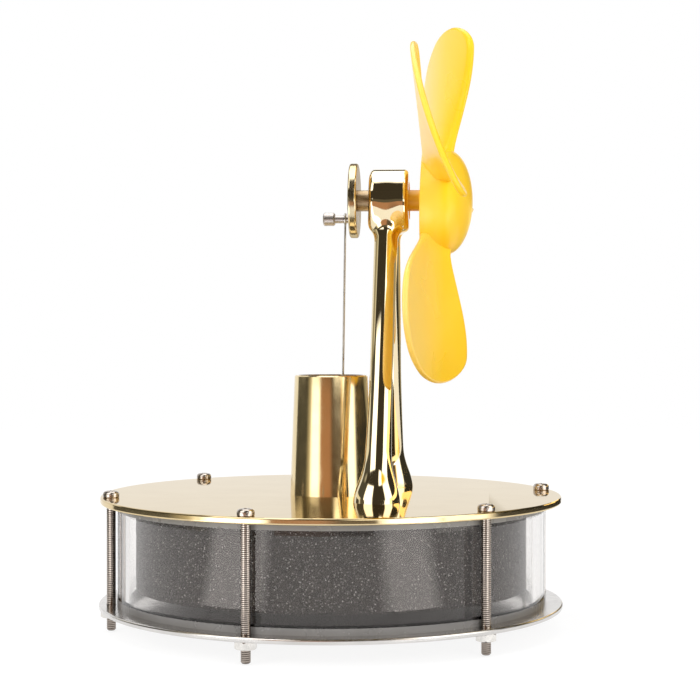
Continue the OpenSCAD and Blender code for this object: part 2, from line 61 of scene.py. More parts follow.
class Shader:
    """A node material round one Principled shader."""

    def __init__(self, name, **sockets):
        self.material = bpy.data.materials.new(name)
        self.material.use_nodes = True
        self.tree = self.material.node_tree
        self.main = self.tree.nodes["Principled BSDF"]
        for socket, value in sockets.items():
            self.main.inputs[socket.replace("_", " ")].default_value = value
        self.place = self.node("TexCoord").outputs["Object"]

    def node(self, kind, inputs=None, **settings):
        made = self.tree.nodes.new("ShaderNode" + kind)
        for key, value in settings.items():
            setattr(made, key, value)
        for key, value in (inputs or {}).items():
            if isinstance(value, bpy.types.NodeSocket):
                self.tree.links.new(value, made.inputs[key])
            else:
                made.inputs[key].default_value = value
        return made

    def drive(self, socket, output):
        self.tree.links.new(output, self.main.inputs[socket])

    def stretched(self, scale):
        """Object coordinates stretched by three factors."""
        return self.node("Mapping", {"Vector": self.place, "Scale": scale}).outputs["Vector"]

    def noise(self, size, detail=3.0, roughness=0.5, place=None):
        """Cloudy noise whose lumps are about size millimetres across."""
        inputs = {"Vector": place or self.place, "Scale": 1 / (size * MM)}
        inputs.update({"Detail": detail, "Roughness": roughness})
        return self.node("TexNoise", inputs).outputs["Fac"]

    def cells(self, size, feature="F1"):
        """Cell pattern of about size millimetres."""
        inputs = {"Vector": self.place, "Scale": 1 / (size * MM)}
        return self.node("TexVoronoi", inputs, feature=feature)

    def ramp(self, value, *stops):
        """Colour from a value by (position, colour) stops."""
        made = self.node("ValToRGB", {"Fac": value})
        points = made.color_ramp.elements
        while len(points) < len(stops):
            points.new(0.5)
        for point, (position, colour) in zip(points, stops):
            point.position = position
            point.color = (*colour, 1)
        return made.outputs["Color"]

    def span(self, value, low, high, start=0.3, end=0.7):
        """A value between low and high as noise goes from start to end."""
        inputs = {"Value": value, "From Min": start, "From Max": end, "To Min": low, "To Max": high}
        return self.node("MapRange", inputs).outputs["Result"]

    def bump(self, height, strength, depth):
        """Surface relief of depth millimetres."""
        made = self.node("Bump", {"Height": height, "Strength": strength, "Distance": depth * MM})
        self.drive("Normal", made.outputs["Normal"])


def polished_metal(name, pale, deep, smooth=0.03, worn=0.08, brush=(1, 1, 0.08), edge=(1, 1, 1)):
    """Mirror-finished metal: slightly uneven colour, hazy patches and hairline polishing marks."""
    s = Shader(name, Metallic=1.0, Specular_Tint=(*edge, 1))
    s.drive("Base Color", s.ramp(s.noise(9, 4), (0.3, deep), (0.7, pale)))
    s.drive("Roughness", s.span(s.noise(3, 6, 0.65), smooth, worn))
    s.bump(s.noise(0.35, 2, place=s.stretched(brush)), 0.02, 0.02)
    return s.material


def sheet_metal(name, pale, deep, edge):
    """Polished sheet whose cut edge is duller than its faces."""
    s = Shader(name, Metallic=1.0, Specular_Tint=(*edge, 1))
    s.drive("Base Color", s.ramp(s.noise(9, 4), (0.3, deep), (0.7, pale)))
    polish = s.span(s.noise(3, 6, 0.65), 0.03, 0.07)
    sideways = s.node("SeparateXYZ", {"Vector": s.node("TexCoord").outputs["Normal"]}).outputs["Z"]
    facing = s.node("Math", {0: sideways}, operation="ABSOLUTE").outputs[0]
    cut_edge = s.span(facing, 0.1, 0.0, 0.4, 0.8)
    s.drive("Roughness", s.node("Math", {0: polish, 1: cut_edge}, operation="MAXIMUM").outputs[0])
    s.bump(s.noise(0.35, 2, place=s.stretched((0.08, 1, 1))), 0.02, 0.02)
    return s.material


def threaded_steel(name, pale, dark):
    """Bare steel with painted shade that darkens the roots of a thread about the piece's own Z axis."""
    painted_root_shade = (0.22, 0.195, 0.175, 1)
    crest_depth = 0.04
    s = Shader(name, Metallic=1.0)
    place = s.node("Mapping", {"Vector": s.place, "Scale": (1 / MM, 1 / MM, 0)}).outputs["Vector"]
    radius = s.node("VectorMath", {0: place}, operation="LENGTH").outputs["Value"]
    patch = s.ramp(s.noise(1.2, 4, 0.6), (0.32, dark), (0.68, pale))
    # Painted shade: the colour darkens towards the thread's roots, by radius
    root = s.span(radius, 1.0, 0.0, thread_r - thread_depth, thread_r - crest_depth)
    shaded = s.node("Mix", {0: root, 6: patch, 7: painted_root_shade}, data_type="RGBA").outputs[2]
    s.drive("Base Color", shaded)
    s.drive("Roughness", s.span(s.noise(1.2, 4), 0.14, 0.24))
    return s.material


def plain_steel(name, pale, dark, low=0.22, high=0.4, lump=1.2):
    """Bare metal with softly uneven colour and shine."""
    s = Shader(name, Metallic=1.0)
    s.drive("Base Color", s.ramp(s.noise(lump, 4, 0.6), (0.32, dark), (0.68, pale)))
    s.drive("Roughness", s.span(s.noise(lump, 4), low, high))
    s.bump(s.noise(0.25, 3), 0.03, 0.02)
    return s.material


def clear_acrylic():
    """Polished clear ring with faint drawing lines and a trace of warm grey."""
    s = Shader("clear_acrylic", IOR=1.49, Transmission_Weight=1.0, Specular_Tint=(1.0, 0.95, 0.92, 1))
    s.drive("Base Color", s.ramp(s.noise(20, 2), (0.3, (0.94, 0.93, 0.922)), (0.7, (0.965, 0.957, 0.95))))
    s.drive("Roughness", s.span(s.noise(4, 4), 0.0, 0.03))
    s.bump(s.noise(6, 2, place=s.stretched((1, 1, 0.05))), 0.03, 0.05)
    depth_tint = (0.90, 0.885, 0.875, 1)
    absorb = s.node("VolumeAbsorption", {"Color": depth_tint, "Density": 140.0})
    s.tree.links.new(absorb.outputs[0], s.tree.nodes["Material Output"].inputs["Volume"])
    return s.material


def clear_rubber(name, pale, deep):
    """Milky silicone gasket."""
    s = Shader(name, IOR=1.41, Transmission_Weight=0.12)
    s.drive("Base Color", s.ramp(s.noise(12, 3), (0.3, deep), (0.7, pale)))
    s.drive("Roughness", s.span(s.noise(4, 3), 0.22, 0.3))
    s.bump(s.noise(5, 2), 0.03, 0.05)
    return s.material


def moulded_plastic(name, pale, deep, back_x, front_x):
    """Glossy moulded plastic that lets a little light through, with a painted sheen that makes it paler to
    the back and where it is thin, and painted shade that deepens the colour in the thick hub.
    """
    s = Shader(name, IOR=1.48, Subsurface_Weight=0.12, Subsurface_Scale=0.001)
    s.main.inputs["Subsurface Radius"].default_value = (1.0, 0.6, 0.1)
    # Painted sheen: the colour is paler towards the back (low X)
    along = s.node("SeparateXYZ", {"Vector": s.place}).outputs["X"]
    depth = s.span(along, 0.0, 1.0, back_x * MM, front_x * MM)
    # Painted shade: the colour is deeper inside the hub's radius
    across = {"Vector": s.place, "Location": (0, 0, -shaft_z * MM), "Scale": (0, 1, 1)}
    from_shaft = s.node("VectorMath", {0: s.node("Mapping", across).outputs[0]}, operation="LENGTH")
    painted_hub_shade = s.span(from_shaft.outputs["Value"], 0.85, 0.0, (hub_r + 0.2) * MM, (hub_r + 1.4) * MM)
    painted_sheen_and_shade = s.node("Math", {0: depth, 1: painted_hub_shade}, operation="MAXIMUM").outputs[0]
    mottle = s.span(s.noise(12, 2), -0.06, 0.06)
    uneven = s.node("Math", {0: painted_sheen_and_shade, 1: mottle}, operation="ADD").outputs[0]
    s.drive("Base Color", s.ramp(uneven, (0.0, pale), (1.0, deep)))
    s.drive("Roughness", s.span(s.noise(16, 2), 0.26, 0.32))
    return s.material


def grey_foam():
    """Cut foam: dark cells, mottling and scattered pale flecks of two sizes.
    A fleck has a cell size in millimetres, a reach in cells, the share of cells with one, and a colour."""
    s = Shader("grey_foam", IOR=1.3)
    colour = s.ramp(s.noise(1.6, 6, 0.7), (0.3, (0.017, 0.0138, 0.0120)), (0.7, (0.042, 0.0345, 0.030)))
    large = (0.62, 0.27, 0.85, (0.50, 0.46, 0.43, 1))
    small = (0.42, 0.35, 0.95, (0.28, 0.257, 0.238, 1))
    for size, reach, share, shade in (small, large):
        cell = s.cells(size)
        pick = s.node("SeparateColor", {"Color": cell.outputs["Color"]}).outputs["Red"]
        spot = s.span(cell.outputs["Distance"], 1.0, 0.0, reach * 0.6, reach)
        kept = s.span(pick, 0.0, 1.0, 1 - share, 1.0)
        fleck = s.node("Math", {0: spot, 1: kept}, operation="MULTIPLY").outputs[0]
        colour = s.node("Mix", {0: fleck, 6: colour, 7: shade}, data_type="RGBA").outputs[2]
    s.drive("Base Color", colour)
    s.drive("Roughness", s.span(s.noise(0.5, 3), 0.7, 0.95))
    s.bump(s.cells(0.55, feature="SMOOTH_F1").outputs["Distance"], 0.25, 0.12)
    return s.material


def graphite():
    """Machined graphite with turning marks round the piston."""
    s = Shader("graphite", IOR=1.6)
    s.drive("Base Color", s.ramp(s.noise(1.4, 5), (0.3, (0.018, 0.018, 0.02)), (0.7, (0.05, 0.05, 0.053))))
    s.drive("Roughness", s.span(s.noise(0.7, 4), 0.32, 0.5))
    s.bump(s.noise(0.2, 2, place=s.stretched((0.05, 0.05, 1))), 0.15, 0.02)
    return s.material


def give(material, *names):
    """Puts a material on CAD nodes."""
    for name in names:
        for slot in nodes[name].material_slots:
            slot.material = material


# Shapes

def add_piece(name, mesh, material, body, slot, *replaced):
    """A new piece in the row frame that rides on a body and stands for CAD nodes."""
    piece = bpy.data.objects.new(name, mesh)
    scene.collection.objects.link(piece)
    piece.data.materials.clear()
    piece.data.materials.append(material)
    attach(piece, body)
    if replaced:
        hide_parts(*replaced)
    return piece


def smooth_min(a, b, k):
    h = np.clip(0.5 + 0.5 * (b - a) / k, 0, 1)
    return b + (a - b) * h - k * h * (1 - h)


def smooth_max(a, b, k):
    return -smooth_min(-a, -b, k)


def slopes(field, points, step=0.01):
    """Gradient of a field at points, by differences."""
    sides = [(field(points + step * e), field(points - step * e)) for e in np.eye(3)]
    return np.stack([(ahead - behind) / (2 * step) for ahead, behind in sides], -1)


def mesh_from_field(name, field, low, high, pitch):
    """Closed smooth mesh where a distance field in millimetres is zero."""
    axes = [np.arange(a, b + pitch, pitch) for a, b in zip(low, high)]
    shape = tuple(len(a) for a in axes)
    grid = np.stack(np.meshgrid(*axes, indexing="ij"), -1).reshape(-1, 3)
    inside = (field(grid) < 0).reshape(shape)
    near, far = slice(None, -1), slice(1, None)
    corners = sum(inside[i, j, k].astype(int) for i in (near, far) for j in (near, far) for k in (near, far))
    crossed = (corners > 0) & (corners < 8)
    index = np.full(crossed.shape, -1)
    index[crossed] = np.arange(crossed.sum())
    centre = np.argwhere(crossed) * pitch + np.array(low) + pitch / 2
    points = centre.copy()
    passes = 5
    least_slope = 0.2
    reach = 0.8 * pitch
    for _ in range(passes):
        slope = slopes(field, points)
        points -= slope * (field(points) / np.maximum((slope ** 2).sum(-1), least_slope))[:, None]
        points = centre + np.clip(points - centre, -reach, reach)
    faces = []
    for axis in range(3):
        u, v = (axis + 1) % 3, (axis + 2) % 3
        start, end = [slice(1, -1)] * 3, [slice(1, -1)] * 3
        start[axis], end[axis] = near, far
        from_inside = inside[tuple(start)]
        edges = np.argwhere(from_inside != inside[tuple(end)])
        outward = from_inside[tuple(edges.T)]
        edges[:, [u, v]] += 1
        ring = []
        for du, dv in ((-1, -1), (0, -1), (0, 0), (-1, 0)):
            cell = edges.copy()
            cell[:, u] += du
            cell[:, v] += dv
            ring.append(index[tuple(cell.T)])
        quads = np.stack(ring, -1)
        quads[~outward] = quads[~outward][:, ::-1]
        faces.append(quads)
    mesh = bpy.data.meshes.new(name)
    mesh.from_pydata((points * MM).tolist(), [], np.concatenate(faces).tolist())
    mesh.shade_smooth()
    normals = slopes(field, points)
    normals /= np.maximum(np.linalg.norm(normals, axis=-1, keepdims=True), 1e-9)
    mesh.normals_split_custom_set_from_vertices(normals.tolist())
    return mesh


def lathe(bm, profile, segments):
    """Turns (radius, height) points about Z into rings of faces, and returns the rings."""
    turns = [2 * pi * i / segments for i in range(segments)]
    rings = [[bm.verts.new((r * cos(a), r * sin(a), z)) for a in turns] for r, z in profile]
    for lower, upper in zip(rings, rings[1:]):
        for i in range(segments):
            j = (i + 1) % segments
            bm.faces.new((lower[i], lower[j], upper[j], upper[i]))
    return rings


def arc_points(centre_r, centre_z, radius, start, end, steps):
    """Points of a section's arc, in degrees from outward."""
    angles = [radians(start + (end - start) * i / steps) for i in range(steps + 1)]
    return [(centre_r + radius * cos(a), centre_z + radius * sin(a)) for a in angles]


def finish_mesh(bm, name, crease=38):
    """Mesh from a bmesh in millimetres, smooth except at creases."""
    bmesh.ops.recalc_face_normals(bm, faces=bm.faces)
    bmesh.ops.scale(bm, vec=(MM, MM, MM), verts=bm.verts)
    mesh = bpy.data.meshes.new(name)
    bm.to_mesh(mesh)
    bm.free()
    mesh.shade_smooth()
    mesh.set_sharp_from_angle(angle=radians(crease))
    return mesh


# Frame: a housing and two splayed legs with bell-shaped feet, blended like a polished casting
foot_y = 18.0
leg_top_y = 1.4
front_foot_x = 11.2
back_foot_x = 12.2
leg_top_x = 12.4
leg_r = 2.45
leg_top_r = 2.6
foot_r = 4.9
bell_h = 11.0
leg_taper = 0.65
leg_taper_l = 28.0
housing_r = 6.8
housing_l = 8.5
housing_edge = 1.1
seat_r = 4.02
taper_power = 1.5
bell_power = 1.6
legs_blend = 2.4
housing_blend = 3.0
seat_blend = 0.35
foot_sink = 0.3


def leg_radius(along, length):
    """Radius of a leg at a distance up it: a bell at the bottom, a slow taper, and wider again to the top."""
    taper = leg_taper * np.clip(1 - along / leg_taper_l, 0, 1) ** taper_power
    bell = ((1 + np.cos(pi * np.clip(along / bell_h, 0, 1))) / 2) ** bell_power
    widen = (leg_top_r - leg_r) * np.clip((along - leg_taper_l) / (length - leg_taper_l), 0, 1)
    return leg_r + taper + widen + (foot_r - leg_taper - leg_r) * bell


def leg_field(p, foot, top):
    """Distance of points from a leg between its foot and its top."""
    axis = np.array(top) - np.array(foot)
    length = np.linalg.norm(axis)
    from_foot = p - np.array(foot)
    along = from_foot @ (axis / length)
    across = np.sqrt(np.maximum((from_foot ** 2).sum(-1) - along ** 2, 0))
    step = 0.05
    steep = (leg_radius(along - step, length) - leg_radius(along + step, length)) / (2 * step)
    return np.maximum((across - leg_radius(along, length)) / np.sqrt(1 + steep ** 2), along - length)


def frame_field(p):
    """Distance of points from the whole frame, with the bearings' seat left open."""
    front = leg_field(p, (front_foot_x, -foot_y, deck_z), (leg_top_x, -leg_top_y, shaft_z))
    back = leg_field(p, (back_foot_x, foot_y, deck_z), (leg_top_x, leg_top_y, shaft_z))
    from_shaft = np.hypot(p[:, 1], p[:, 2] - shaft_z)
    round_gap = from_shaft - housing_r + housing_edge
    end_gap = np.abs(p[:, 0] - housing_x) - housing_l / 2 + housing_edge
    corner = np.hypot(np.maximum(round_gap, 0), np.maximum(end_gap, 0))
    housing = np.minimum(np.maximum(round_gap, end_gap), 0) + corner - housing_edge
    solid = smooth_min(smooth_min(front, back, legs_blend), housing, housing_blend)
    solid = smooth_max(solid, seat_r - from_shaft, seat_blend)
    return np.maximum(solid, deck_z - foot_sink - p[:, 2])


# Fan: a domed hollow hub and four twisted blades, set a little out of true on the shaft
blade_count = 4
blade_first_angle = 59.0
fan_r = 41.0
hub_r = 11.3
hub_straight = 5.4
hub_dome = 5.6
hub_wall = 1.4
boss_r = 3.3
bore_r = 1.5
bore_l = 8.0
fan_tilt = radians(1.3)
fan_swing = radians(-0.5)
fan_drop = 0.35
blade_t = 1.3
root_sunk = 0.8
root_swell = 0.45
root_swell_l = 1.2
blade_root_half = 16.0
blade_wide_half = 32.4
blade_wide_r = 33.4
blade_tip_power = 2.1
blade_mid_x = 2.0
blade_pitch = 9.5
blade_camber = 9.6
blade_ref_r = 25.0
blade_rake = 2.1
blade_skew = 5.4
blade_offset = -0.9


def blade_half(r):
    """Half angle of a blade at a radius, in radians."""
    widen = np.sin(pi / 2 * np.clip((r - hub_r) / (blade_wide_r - hub_r), 0, 1))
    closing = np.clip((r - blade_wide_r) / (fan_r - blade_wide_r), 0, 1) ** blade_tip_power
    half = (blade_root_half + (blade_wide_half - blade_root_half) * widen) * np.sqrt(1 - closing)
    return np.radians(half)


def fan_blade(bm, turn):
    """One blade: two skins on a twisted surface that close in a round edge, thicker at the root."""
    spans, chords = 52, 44
    step = 0.02
    root_r = hub_r - hub_wall * root_sunk
    share = np.linspace(0, 1, spans + 1)[:, None]
    r = root_r + (fan_r - root_r) * (1 - (1 - share) ** 2)
    u = np.sin(np.linspace(-pi / 2, pi / 2, chords + 1))[None, :]
    half = blade_half(r)
    lean = (r - blade_ref_r) / blade_ref_r
    a = np.radians(blade_offset + blade_skew * lean) + half * u
    surface = blade_mid_x + blade_pitch * a + blade_camber * a ** 2 - blade_rake * lean
    twist = (blade_pitch + 2 * blade_camber * a) / r
    taper = (blade_half(r + step) - blade_half(r - step)) / (2 * step)
    inset = half * (1 - np.abs(u)) / np.sqrt(taper ** 2 + 1 / (r ** 2 * (1 + twist ** 2)))
    inset = np.minimum(inset, fan_r - r)
    thick = blade_t / 2 + root_swell * np.exp(-np.maximum(r - hub_r, 0) / root_swell_l)
    lift = thick * np.sqrt(1 - (1 - np.clip(inset / thick, 0, 1)) ** 2) * np.sqrt(1 + twist ** 2)
    y, z = -r * np.sin(a + turn), r * np.cos(a + turn)
    skins = []
    for side in (-1, 1):
        x = surface + side * lift
        points = np.stack([x, y, z], -1)
        skins.append([[bm.verts.new(point) for point in line] for line in points])
    rear, front = skins
    for i in range(spans):
        for j in range(chords):
            bm.faces.new((rear[i][j], rear[i + 1][j], rear[i + 1][j + 1], rear[i][j + 1]))
            bm.faces.new((front[i][j], front[i][j + 1], front[i + 1][j + 1], front[i + 1][j]))
    for j in range(chords):
        bm.faces.new((rear[0][j], rear[0][j + 1], front[0][j + 1], front[0][j]))


def fan_hub(bm):
    """Hollow hub with a domed front and a boss on the shaft."""
    lip = 0.25
    boss_step = 0.05
    boss_gap = 0.4
    boss_lap = 0.1
    steps, segments = 16, 96
    quarter = [pi / 2 * i / steps for i in range(steps + 1)]
    inner_r, inner_dome = hub_r - hub_wall, hub_dome - hub_wall
    dome = [(hub_r * sin(a), hub_straight + hub_dome * cos(a)) for a in quarter]
    rear = [(hub_r, lip), (hub_r - lip, 0.0), (inner_r + lip, 0.0), (inner_r, lip)]
    inside = [(inner_r * sin(a), hub_straight + inner_dome * cos(a)) for a in reversed(quarter)]
    inside = [(r, x) for r, x in inside if r > boss_r + boss_gap]
    boss = [(boss_r, inside[-1][1] - boss_lap), (boss_r, lip), (boss_r - lip, boss_step), (bore_r, boss_step)]
    bore = [(bore_r, bore_l), (0.0, bore_l)]
    rings = lathe(bm, dome + rear + inside + boss + bore, segments)
    along_shaft = Matrix.Rotation(pi / 2, 4, "Y")
    bmesh.ops.transform(bm, matrix=along_shaft, verts=[v for ring in rings for v in ring])


def fan_mesh():
    """Hub and blades joined, tilted and lowered as in the photograph."""
    bm = bmesh.new()
    fan_hub(bm)
    for i in range(blade_count):
        fan_blade(bm, radians(blade_first_angle) + 2 * pi * i / blade_count)
    bmesh.ops.remove_doubles(bm, verts=bm.verts, dist=1e-3)
    lean = Matrix.Rotation(fan_tilt, 4, "Y") @ Matrix.Rotation(fan_swing, 4, "Z")
    out_of_true = Matrix.Translation((hub_x, 0, shaft_z - fan_drop)) @ lean
    bmesh.ops.transform(bm, matrix=out_of_true, verts=bm.verts)
    return finish_mesh(bm, "fan_moulding", crease=50)


# Tie screws with a rolled thread and a cross recess
thread_r = 1.0
thread_pitch = 0.4
thread_depth = 0.12
head_r = 1.75
head_h = 1.4
tie_circle_r = 47.7
tie_first_angle = 15.3
tie_count = 6
end_chamfer = 0.3
thread_lap = 0.1
screw_turn = 1.7


def thread(bm, length):
    """Helical thread from a chamfered end at z = 0 up to length.
    Each point of its profile has a share of the pitch and a share of the depth."""
    segments = 20
    steps = int((length / thread_pitch + 1) * segments)
    profile = [(0.0, 0.0), (0.55, 0.0), (0.75, 1.0), (0.8, 1.0)]
    strip = []
    for i in range(steps + 1):
        a = 2 * pi * i / segments
        points = []
        for share, sunk in profile:
            z = min(max(thread_pitch * (i / segments + share - 1), 0), length)
            chamfer = max(0, end_chamfer - z)
            r = thread_r - max(thread_depth * sunk, chamfer)
            points.append(bm.verts.new((r * cos(a), r * sin(a), z)))
        strip.append(points)
    for i in range(steps):
        for j in range(len(profile) - 1):
            bm.faces.new((strip[i][j], strip[i + 1][j], strip[i + 1][j + 1], strip[i][j + 1]))
        if i + 1 + segments <= steps:
            above = i + segments
            bm.faces.new((strip[i][-1], strip[i + 1][-1], strip[above + 1][0], strip[above][0]))
    tiny = 1e-4
    bmesh.ops.dissolve_degenerate(bm, dist=tiny, edges=bm.edges)
    bottom = [v for v in bm.verts if v.co.z < tiny]
    hub = bm.verts.new((0, 0, 0))
    bottom.sort(key=lambda v: np.arctan2(v.co.y, v.co.x))
    for v, w in zip(bottom, bottom[1:] + bottom[:1]):
        bm.faces.new((hub, w, v))


def screw_head(bm, base):
    """Pan head with a cross recess, standing on base."""
    round_r = 0.75
    under_r = 0.9
    rim_chamfer = 0.12
    flat_r = 0.98
    flat_drop = 0.005
    recess_r = 0.96
    recess_drop = 0.01
    recess_h = 0.75
    pit_h = 0.12
    wing, half = 0.92, 0.2
    corner = half * 1.42
    taper = 0.72
    segments = 48
    top = base + head_h
    profile = [(under_r, base), (head_r - rim_chamfer, base), (head_r, base + rim_chamfer)]
    profile += arc_points(head_r - round_r, top - round_r, round_r, 0, 80, 7)
    rings = lathe(bm, profile + [(flat_r, top - flat_drop), (recess_r, top - recess_drop)], segments)
    rim, floor_z = rings[-1], top - recess_h
    walls = []
    for i in range(segments):
        a = 2 * pi * i / segments
        c, s = abs(cos(a)), abs(sin(a))
        reach = wing if min(c, s) * wing <= half else half / min(c, s)
        reach = min(max(reach, corner), wing)
        walls.append((reach * cos(a), reach * sin(a)))
    lip = [bm.verts.new((x, y, top)) for x, y in walls]
    sole = [bm.verts.new((x * taper, y * taper, floor_z)) for x, y in walls]
    pit = bm.verts.new((0, 0, floor_z - pit_h))
    for i in range(segments):
        j = (i + 1) % segments
        bm.faces.new((rim[i], rim[j], lip[j], lip[i]))
        bm.faces.new((lip[i], lip[j], sole[j], sole[i]))
        bm.faces.new((sole[i], sole[j], pit))


def tie_screw_mesh():
    """Thread and head as one mesh, with a material slot for each."""
    bm = bmesh.new()
    thread(bm, deck_z + thread_lap)
    screw_head(bm, deck_z)
    for face in bm.faces:
        face.material_index = int(face.calc_center_median().z > deck_z)
    return finish_mesh(bm, "tie_screw")


# Foam displacer
foam_edge_r = 0.8
foam_centre_r = 0.4
foam_clear = 1.0
foam_rough = 0.22
foam_grain = 0.9


def displacer_mesh():
    """Foam disc with a cut, slightly ragged edge and a recess for the steel disc."""
    low, high = (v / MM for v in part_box("displacer"))
    armature_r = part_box("displacer_armature")[1].x / MM
    recess_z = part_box("displacer_armature")[0].z / MM
    outer, soft = high.x, foam_edge_r
    rows, segments = 22, 220
    wall = [(outer, low.z + soft + (high.z - low.z - 2 * soft) * i / rows) for i in range(1, rows)]
    flat = [outer * share for share in (0.2, 0.4, 0.55, 0.7, 0.8, 0.88, 0.94)]
    profile = [(foam_centre_r, low.z)] + [(r, low.z) for r in flat]
    profile += arc_points(outer - soft, low.z + soft, soft, -90, 0, 4) + wall
    profile += arc_points(outer - soft, high.z - soft, soft, 0, 90, 4)
    profile += [(r, high.z) for r in reversed(flat) if r > armature_r + foam_clear]
    profile += [(armature_r, high.z), (armature_r, recess_z), (foam_centre_r, recess_z)]
    bm = bmesh.new()
    rings = lathe(bm, profile, segments)
    bm.faces.new(rings[0])
    bm.faces.new(rings[-1])
    for v in bm.verts:
        r = v.co.xy.length
        if r > armature_r + foam_clear:
            rough = 0.5 + 0.5 * noise.fractal(v.co * foam_grain, 1.0, 2.0, 4)
            v.co.xy *= 1 - foam_rough * min(max(rough, 0), 1) / r * (r / outer) ** 4
    return finish_mesh(bm, "displacer_foam", crease=60)


# Build the pieces
gold_plate = sheet_metal("gold_plate", (0.75, 0.61, 0.37), (0.69, 0.545, 0.31), (0.93, 0.885, 0.795))
gold_metal = polished_metal("gold_metal", (0.88, 0.755, 0.52), (0.83, 0.70, 0.45))
turned_metal = polished_metal("turned_metal", (0.84, 0.69, 0.41), (0.77, 0.61, 0.34), 0.1, 0.17, (1, 1, 0.03))
disc_metal = polished_metal("disc_metal", (0.80, 0.68, 0.46), (0.66, 0.56, 0.37), 0.12, 0.22, (0.1, 1, 1),
                            (0.50, 0.43, 0.33))
aluminium = polished_metal("polished_aluminium", (0.69, 0.67, 0.655), (0.60, 0.585, 0.57), 0.14, 0.26,
                           (0.1, 1, 1))
screw_steel = threaded_steel("screw_steel", (0.45, 0.395, 0.35), (0.34, 0.295, 0.262))
hardware = plain_steel("steel_hardware", (0.60, 0.54, 0.50), (0.46, 0.41, 0.37), 0.16, 0.28)
nut_steel = plain_steel("nut_steel", (0.80, 0.78, 0.75), (0.68, 0.66, 0.63), 0.15, 0.28)
bearing_steel = plain_steel("bearing_steel", (0.66, 0.66, 0.67), (0.52, 0.52, 0.53), 0.12, 0.22)
spacer_metal = plain_steel("spacer_metal", (0.56, 0.43, 0.285), (0.48, 0.365, 0.235), 0.36, 0.44, 3)
nickel = plain_steel("nickel_pin", (0.64, 0.59, 0.57), (0.54, 0.50, 0.48), 0.3, 0.4, 2)
wire_steel = plain_steel("steel_wire", (0.62, 0.61, 0.6), (0.5, 0.49, 0.48), 0.25, 0.4, 2)
graphite_matter = graphite()
upper_rubber = clear_rubber("upper_rubber", (0.33, 0.32, 0.305), (0.28, 0.27, 0.258))
# The lower gasket is a darker copy of the same rubber as the upper one: painted shade
lower_rubber_shaded = clear_rubber("lower_rubber_shaded", (0.23, 0.22, 0.21), (0.19, 0.181, 0.172))

give(gold_plate, "top_plate")
give(turned_metal, "power_cylinder", "wrist_bracket")
give(disc_metal, "crank_disc")
give(aluminium, "bottom_plate")
give(clear_acrylic(), "acrylic_ring")
give(upper_rubber, "upper_gasket")
give(lower_rubber_shaded, "lower_gasket")
give(nut_steel, "tie_nuts")
give(hardware, "frame_screws", "displacer_armature")
give(bearing_steel, "bearing_outer_rings", "bearing_inner_rings", "bearing_balls", "crankshaft")
give(spacer_metal, "crank_spacer")
give(nickel, "crank_pin", "wrist_pin", "piston_magnet")
give(wire_steel, "connecting_rod")
give(graphite_matter, "power_piston")

margin = 1.0
casting_pitch = 0.4
frame_low, frame_high = ([c / MM for c in corner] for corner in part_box("a_frame"))
casting = mesh_from_field("frame_casting", frame_field, [c - margin for c in frame_low],
                          [c + margin for c in frame_high], casting_pitch)
add_piece("frame_casting", casting, gold_metal, "engine", "gold_metal", "a_frame")

plastic = moulded_plastic("yellow_plastic", (1.0, 0.67, 0.17), (1.0, 0.60, 0.012),
                          back_x=hub_x - 3.5, front_x=hub_x + 5)
# A more orange copy of the yellow plastic for the fan spacer, which sits in the fan's shade: painted shade
shaded_plastic_copy = moulded_plastic("yellow_plastic_shaded", (1.0, 0.60, 0.02), (1.0, 0.56, 0.012),
                        back_x=hub_x - 3, front_x=hub_x)
add_piece("fan_moulding", fan_mesh(), plastic, "rotor", "yellow_plastic", "fan")
give(shaded_plastic_copy, "fan_spacer")

screw_mesh = tie_screw_mesh()
for i in range(tie_count):
    a = radians(tie_first_angle + i * 360 / tie_count)
    screw = bpy.data.objects.new(f"tie_screw_{i + 1}", screw_mesh)
    scene.collection.objects.link(screw)
    screw.matrix_world = Matrix.Translation((tie_circle_r * MM * cos(a), tie_circle_r * MM * sin(a), 0)) \
        @ Matrix.Rotation(a + screw_turn * i, 4, "Z")
    bpy.context.view_layer.update()
    if i == 0:
        screw_mesh.materials.append(screw_steel)
        screw_mesh.materials.append(hardware)
    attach(screw, "engine")
    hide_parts("tie_screws")

foam_matter = grey_foam()
foam = add_piece("displacer_foam", displacer_mesh(), foam_matter, "floating_displacer", "grey_foam",
                 "displacer")


# Stage: a pale floor, light, and cards that only the polished surfaces see
focal_px, image_px = 1675.0, 700.0
camera_place = Vector((34.75, -364.57, 63.55)) * MM
heading = Vector((-0.08368, 0.99649, 0))
pitch_down = 0.0103
fill_light = 0.8

camera_data = bpy.data.cameras.new("camera")
camera_data.sensor_fit = "HORIZONTAL"
camera_data.sensor_width = 36.0
camera_data.lens = focal_px / image_px * camera_data.sensor_width
camera_data.clip_start = 0.01
camera = bpy.data.objects.new("camera", camera_data)
scene.collection.objects.link(camera)
camera.location = camera_place
camera.rotation_euler = (heading - Vector((0, 0, tan(pitch_down)))).to_track_quat("-Z", "Y").to_euler()
scene.camera = camera


def studio_world():
    """White for what is seen directly, in metal and through glass, and plain light for the rest."""
    world = bpy.data.worlds.new("studio")
    world.use_nodes = True
    tree = world.node_tree
    fill = tree.nodes["Background"]
    fill.inputs["Color"].default_value = (1, 1, 1, 1)
    fill.inputs["Strength"].default_value = fill_light
    white = tree.nodes.new("ShaderNodeBackground")
    white.inputs["Strength"].default_value = 1.0
    white.inputs["Color"].default_value = (1, 1, 1, 1)
    seen = seen_directly(tree)
    mix = tree.nodes.new("ShaderNodeMixShader")
    tree.links.new(seen, mix.inputs["Fac"])
    tree.links.new(fill.outputs[0], mix.inputs[1])
    tree.links.new(white.outputs[0], mix.inputs[2])
    tree.links.new(mix.outputs[0], tree.nodes["World Output"].inputs["Surface"])
    scene.world = world


